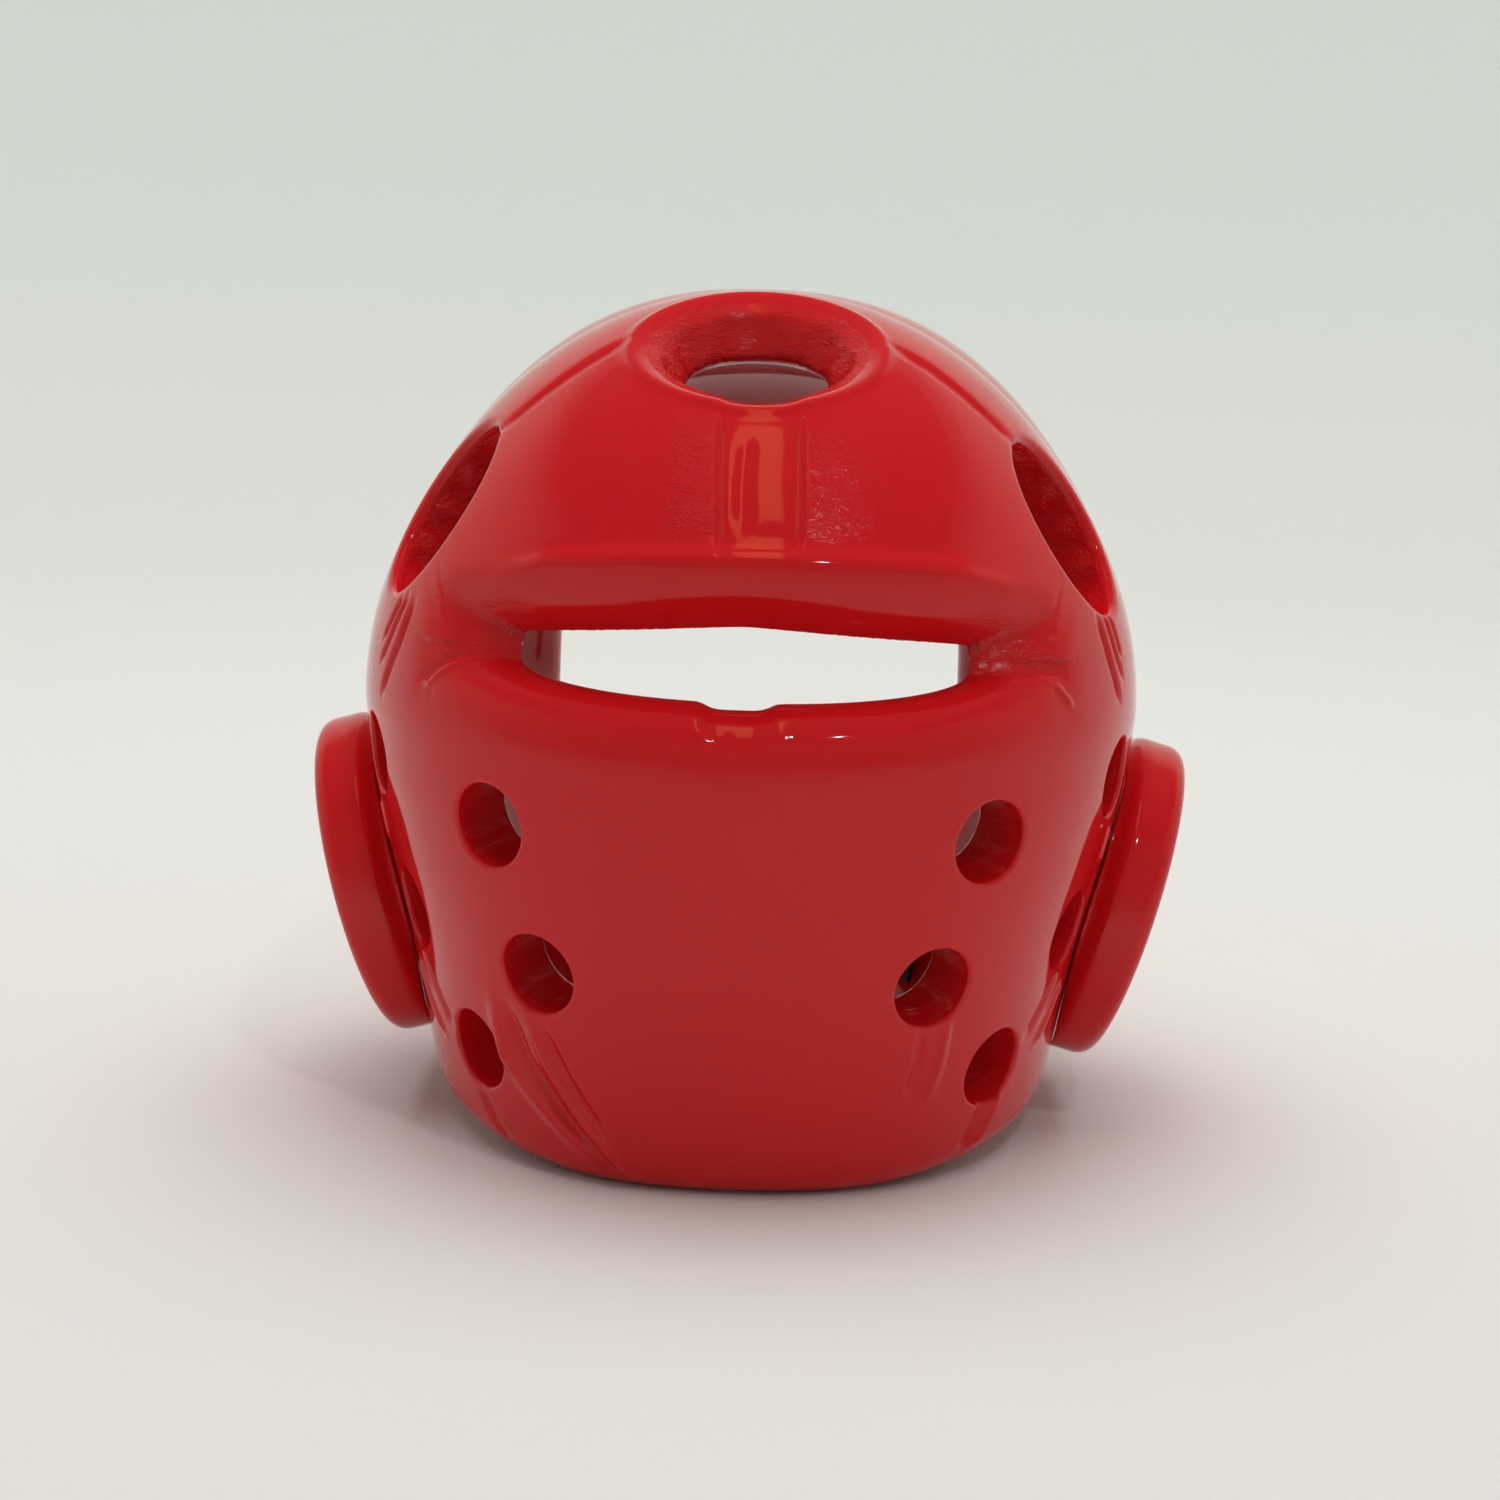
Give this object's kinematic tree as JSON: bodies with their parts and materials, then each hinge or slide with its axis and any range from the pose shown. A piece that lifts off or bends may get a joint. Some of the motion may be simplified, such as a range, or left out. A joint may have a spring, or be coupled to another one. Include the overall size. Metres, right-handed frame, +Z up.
{
  "type": "sparring head guard",
  "caption": "Open-face sparring head guard of dipped foam with crown hole, side vents, rear slot, round nape vents, ear cups and an elastic chin strap.",
  "frame": {"origin": "centre of the guard's bounding box in X and Y, on the surface that its lower rim rests on", "axes": "+Z up, +Y out of the open face, -Y out of the nape guard, +X over one ear cup"},
  "size_m": [0.254, 0.2428, 0.237],
  "materials": {
    "dipped_foam": "smooth glossy dipped vinyl skin over closed-cell foam",
    "elastic_webbing": "ribbed black elastic webbing",
    "hook_tape": "matt black hook-and-loop tape"
  },
  "bodies": {
    "root": {"shell": "dipped_foam", "ear_cup_left": "dipped_foam", "ear_cup_right": "dipped_foam", "chin_strap": "elastic_webbing", "strap_tab": "hook_tape"}
  },
  "joints": []
}
